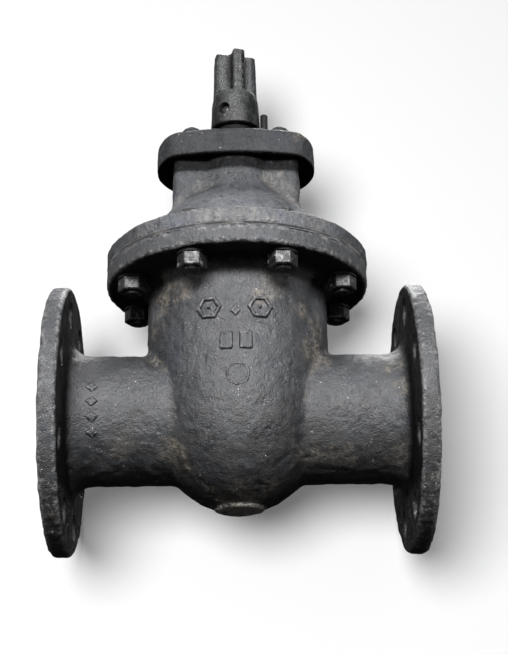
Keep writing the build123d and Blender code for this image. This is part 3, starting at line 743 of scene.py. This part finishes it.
def relief(name, centre, reach, height, outline, step, seed):
    """A closed pad on the front of the body, on a grid of half size reach about centre.

    outline(u, v) gives a signed distance in mm, negative inside.
    """
    us, vs = [np.linspace(-half, half, int(2 * half / step) + 1) for half in reach]
    u, v = np.meshgrid(us, vs, indexing="ij")
    x, z = centre
    wobble = (plane_noise(u / 2.0 + x, v / 2.0 + z, 0, seed) - 0.5) * 0.55
    distance = outline(u, v) + wobble
    raised = height * (1 - ease(-0.9, 0.75, distance)) - PAD_SINK
    grain = plane_noise(u / 1.6, v / 1.6, x, seed + 1) - 0.5
    raised += grain * 0.22 * (distance < 0.5)
    front = []
    for (i, j), lift in np.ndenumerate(raised):
        start = Vector(((x + us[i]) / 1000, -0.2, (z + vs[j]) / 1000))
        hit = body_surface.ray_cast(start, Vector((0, 1, 0)))[0]
        y = hit.y * 1000 if hit is not None else -60.0
        front.append((x + us[i], y - lift, z + vs[j]))
    rear = [(px, py + PAD_THICKNESS, pz) for px, py, pz in front]

    back, columns = len(front), len(vs)
    used = distance < 1.1
    cells, faces = set(), []

    def corners(i, j):
        first = i * columns + j
        return first, first + columns, first + columns + 1, first + 1

    for i in range(len(us) - 1):
        for j in range(columns - 1):
            if used[i:i + 2, j:j + 2].any():
                cells.add((i, j))
                faces.append(corners(i, j))
                faces.append([back + corner for corner in reversed(corners(i, j))])
    for i, j in cells:
        for di, dj, start, end in CELL_SIDES:
            if (i + di, j + dj) not in cells:
                a, b = corners(i, j)[start], corners(i, j)[end]
                faces.append((b, a, back + a, back + b))
    ob = mesh_object(name, front + rear, faces)
    net = Net(ob.data)
    depth = net.depth(net.normals(), 6)
    # painted shade in the recesses of the pad
    store_masks(ob.data, hollow=np.clip(depth / 0.15, 0, 1) * 0.4,
                edge=np.clip(-depth / 0.22, 0, 1), painted_shade=np.clip(depth / 0.12, 0, 1) * 0.8)
    attach(ob, BODY_PAINT, "casing")


def rounded_box(half_width, half_height, radius):
    def outline(u, v):
        du = np.abs(u) - half_width + radius
        dv = np.abs(v) - half_height + radius
        outer = np.hypot(np.maximum(du, 0), np.maximum(dv, 0))
        return outer + np.minimum(np.maximum(du, dv), 0) - radius
    return outline


def diamond(a, b):
    return lambda u, v: (np.abs(u) / a + np.abs(v) / b - 1) * min(a, b) * 0.7


def hex_ring(outer, inner, boss):
    """A hexagonal rim between two half widths across flats, round a central boss."""
    def outline(u, v):
        flats = np.maximum(np.abs(v), np.abs(u) * 0.8660 + np.abs(v) * 0.5)
        return np.minimum(np.maximum(flats - outer, inner - flats), np.hypot(u, v) - boss)
    return outline


def ring(outer, inner):
    return lambda u, v: np.maximum(np.hypot(u, v) - outer, -(np.hypot(u, v) - inner))


HEXAGON = hex_ring(outer=8.0, inner=5.2, boss=1.15)
BOX = rounded_box(half_width=4.6, half_height=6.6, radius=1.2)
# name, centre (x, z), half grid size, height, outline, grid step, seed
RELIEFS = [
    ("upper_left", (-21.0, 65.2), (10.5, 11), 2.69, HEXAGON, 0.45, 51),
    ("upper_mid", (-1.8, 61.8), (4.8, 5.5), 2.05, diamond(3.8, 4.4), 0.45, 52),
    ("upper_right", (16.0, 65.2), (10.5, 11), 2.56, HEXAGON, 0.45, 53),
    ("size_left", (-8.6, 39.2), (7, 9), 2.43, BOX, 0.45, 54),
    ("size_right", (5.4, 39.2), (7, 9), 2.43, BOX, 0.45, 55),
    ("disc", (-0.6, 14.2), (11, 11), 1.2, ring(8.6, 6.9), 0.35, 56)]
# a column of diamonds running down beside the left pipe flange
RELIEFS += [
    ("pipe_%d" % (i + 1), (-105.4 + 0.3 * i, 12.2 - 11.0 * i), (7, 6), 1.7,
     diamond(4.9, 3.9), 0.4, 60 + i) for i in range(4)]
for name, *shape in RELIEFS:
    relief("relief_" + name, *shape)

# ---------------------------------------------------------------- CAD parts kept as they are
# node: material, width of its softened edges or None
KEPT_PARTS = {
    "body_seat_ring_left": (BRONZE, None), "body_seat_ring_right": (BRONZE, None),
    "gate_wedge": (BARE_IRON, 1.2), "gate_face_ring_left": (BRONZE, None),
    "gate_face_ring_right": (BRONZE, None), "stem_nut": (BRONZE, 0.6),
    "stem": (STEM_STEEL, 0.25), "bonnet_gasket": (GASKET, None),
    "bonnet_bolts": (BOLT_STEEL, 0.45), "bonnet_washers": (SHADED_STEEL, 0.3),
    "bonnet_nuts": (DARK_STEEL, 0.55), "stem_bush": (BRONZE, None),
    "thrust_washer_lower": (BRONZE, None), "thrust_washer_upper": (BRONZE, None),
    "cover_gasket": (SEAL, None), "cover_studs": (SHADED_STEEL, 0.3),
    "cover_nuts": (SHADED_STEEL, 0.5), "packing_rings": (PACKING, None),
    "gland_follower": (GLAND_PAINT, 0.8), "gland_studs": (SHADED_STEEL, 0.3),
    "gland_nuts": (DARK_STEEL, 0.35), "dust_seal": (SEAL, None)}

for node, (material, edge_width) in KEPT_PARTS.items():
    ob = NODES[node]
    ob.data.materials.clear()
    ob.data.materials.append(material)
    for face in ob.data.polygons:
        face.material_index = 0
    ob.modifiers.new("weld", "WELD").merge_threshold = 0.00001
    if edge_width:
        bevel = ob.modifiers.new("soft", "BEVEL")
        bevel.width = edge_width / 1000.0
        bevel.segments = 2
        bevel.limit_method = "ANGLE"
        bevel.angle_limit = math.radians(38)
        bevel.harden_normals = False


# ---------------------------------------------------------------- stage: floor and back sheet
def stage_material(name, side, level, glow, fade=None):
    """A pale sheet, seen only by cameras on one side of a level (metres).

    fade gives the distances from the origin over which it vanishes.
    """
    material = bpy.data.materials.new(name)
    g = Graph(material)
    mottle = g.node("TexNoise", {"Scale": 6.0})["Fac"]
    tone = g.node("MapRange", {"Value": mottle, "To Min": 0.80, "To Max": 0.84})["Result"]
    diffuse = g.node("BsdfDiffuse", {"Color": tone})[0]
    place = g.node("NewGeometry")
    ray = g.node("LightPath")
    # the ray's start is the camera's place
    back = g.node("VectorMath", {0: place["Incoming"], "Scale": ray["Ray Length"]},
                  operation="SCALE")[0]
    eye = g.node("VectorMath", {0: place["Position"], 1: back}, operation="ADD")[0]
    shown = g.mul(g.calc(side, g.sep(eye)[2], level), ray["Is Camera Ray"])
    if fade:
        away = g.node("VectorMath", {0: place["Position"]}, operation="LENGTH")["Value"]
        shown = g.mul(shown, g.ramp(away, *fade, at_lo=1.0, at_hi=0.0))
    emission = g.node("Emission", {"Strength": glow})[0]
    both = g.node("AddShader", {0: diffuse, 1: emission})[0]
    clear = g.node("BsdfTransparent")[0]
    g.node("OutputMaterial", {0: g.node("MixShader", {0: shown, 1: clear, 2: both})[0]})
    return material


def sheet(name, corners, material):
    ob = mesh_object(name, corners, [(0, 1, 2, 3)], closed=False)
    ob.data.materials.append(material)
    ob.visible_diffuse = False
    ob.visible_glossy = False
    ob.visible_shadow = False
    ob.visible_transmission = False
    return ob


FLOOR_Z, FLOOR_HALF = -100.2, 4000
BACK_Y, BACK_HALF = 100.3, 3000
SQUARE = ((-1, -1), (1, -1), (1, 1), (-1, 1))
sheet("stage_floor", [(FLOOR_HALF * a, FLOOR_HALF * b, FLOOR_Z) for a, b in SQUARE],
      stage_material("stage_floor_pale", "GREATER_THAN", level=-0.099, glow=0.0,
                     fade=(0.55, 1.9)))
back = sheet("stage_back", [(BACK_HALF * a, BACK_Y, BACK_HALF * b) for a, b in SQUARE],
             stage_material("stage_back_pale", "LESS_THAN", level=-0.12, glow=0.14))


# ---------------------------------------------------------------- light
def build_world():
    """White to the camera; a cool sky, brighter overhead, to everything else."""
    world = bpy.data.worlds.new("studio")
    scene.world = world
    g = Graph(world)
    height = g.sep(g.node("TexCoord")["Generated"])[2]
    sky = g.node("Background", {
        "Color": (0.97, 0.985, 1.0, 1),
        "Strength": g.ramp(height, lo=-0.15, hi=0.9, at_lo=0.01, at_hi=0.42)})[0]
    white = g.node("Background", {"Color": (1, 1, 1, 1), "Strength": 1.05})[0]
    seen = g.node("LightPath")["Is Camera Ray"]
    g.node("OutputWorld", {0: g.node("MixShader", {0: seen, 1: sky, 2: white})[0]})


def light_group(name, obs, state):
    """A light-linking group of the given objects."""
    group = bpy.data.collections.new(name)
    for ob in obs:
        group.objects.link(ob)
    for member in group.collection_objects:
        member.light_linking.link_state = state
    return group


build_world()
NOT_BACK = light_group("lights_not_back", [back], "EXCLUDE")
ONLY_BACK = light_group("lights_only_back", [back], "INCLUDE")
NOT_TOP = light_group("lights_not_top", [back, bonnet, cover, cap], "EXCLUDE")
WHITE = (1, 1, 1)
# name, place, target, size, height (None for a disk), power, colour, what it lights; metres
LIGHTS = [
    ("key", (-0.06, -1.52, 0.62), (0, 0, 0.04), 1.22, 0.42, 56, (0.985, 0.985, 1.0), NOT_BACK),
    ("front_fill", (0.0, -1.7, 0.10), (0, 0, 0.03), 0.9, None, 5, (0.95, 0.98, 1.0), NOT_BACK),
    ("side_right", (1.5, 0.1, 0.9), (0.10, 0, 0.03), 0.8, None, 1.6, (0.90, 0.95, 1.0),
     NOT_BACK),
    ("low_front", (0.0, -1.5, -0.60), (0, 0, -0.05), 0.5, None, 0.95, (1.0, 0.98, 0.95),
     NOT_BACK),
    ("side_left", (-1.5, 0.1, 0.9), (-0.10, 0, 0.03), 0.8, None, 1.6, WHITE, NOT_BACK),
    ("rear", (0.2, 0.95, 1.55), (0, 0, 0.08), 0.8, None, 17, WHITE, NOT_BACK),
    ("axis_right", (1.9, 0.0, 0.08), (0, 0, 0.04), 0.35, None, 9, WHITE, NOT_TOP),
    ("axis_left", (-1.9, 0.0, 0.08), (0, 0, 0.04), 0.35, None, 9, WHITE, NOT_TOP),
    ("sheet_light", (-0.44, -1.95, -0.08), (0, 0.1, 0.02), 1.0, None, 47, WHITE, ONLY_BACK)]

for name, place, target, size, tall, power, colour, receivers in LIGHTS:
    lamp = bpy.data.lights.new(name, "AREA")
    lamp.shape = "RECTANGLE" if tall else "DISK"
    lamp.size = size
    if tall:
        lamp.size_y = tall
    lamp.energy = power
    lamp.color = colour
    ob = bpy.data.objects.new(name, lamp)
    scene.collection.objects.link(ob)
    ob.location = place
    ob.rotation_euler = (Vector(target) - Vector(place)).to_track_quat("-Z", "Y").to_euler()
    ob.light_linking.receiver_collection = receivers

# ---------------------------------------------------------------- camera, low at the front
CAMERA_DISTANCE = 1012.66786  # from the origin
ELEVATION = math.radians(-16.29)
AZIMUTH = math.radians(-0.28)
ROLL = math.radians(0.66)
SENSOR_HEIGHT = 36.0
LENS = 74.3779817
ORIGIN_ON_SENSOR = (-0.84330275, -5.1346789)  # right of and above the sensor's centre


def camera_matrix():
    """Looks at the origin, rolls, then turns until the origin falls off centre as set."""
    outward = np.array([math.sin(AZIMUTH) * math.cos(ELEVATION),
                        -math.cos(AZIMUTH) * math.cos(ELEVATION), math.sin(ELEVATION)])
    right = np.cross(-outward, [0, 0, 1])
    right /= np.linalg.norm(right)
    level = np.stack([right, np.cross(right, -outward), -outward])
    cos, sin = math.cos(ROLL), math.sin(ROLL)
    rolled = np.array([[cos, -sin, 0], [sin, cos, 0], [0, 0, 1]]) @ level
    aim = np.array([*ORIGIN_ON_SENSOR, LENS])
    aim /= np.linalg.norm(aim)
    # the shortest rotation that takes the view axis to the aim
    x, y, z = np.cross([0, 0, 1], aim)
    cross = np.array([[0, -z, y], [z, 0, -x], [-y, x, 0]])
    axes = (np.eye(3) + cross + cross @ cross / (1 + aim[2])) @ rolled
    matrix = np.eye(4)
    matrix[:3, :3] = np.stack([axes[0], axes[1], -axes[2]], 1)
    matrix[:3, 3] = outward * CAMERA_DISTANCE / 1000.0
    return Matrix(matrix.tolist())


camera = bpy.data.objects.new("camera", bpy.data.cameras.new("camera"))
scene.collection.objects.link(camera)
camera.matrix_world = camera_matrix()
camera.data.sensor_fit = "VERTICAL"
camera.data.sensor_height = SENSOR_HEIGHT
camera.data.lens = LENS
camera.data.clip_start = 0.01
camera.data.clip_end = 30.0
scene.camera = camera
scene.view_settings.view_transform = "Standard"

bpy.context.view_layer.update()
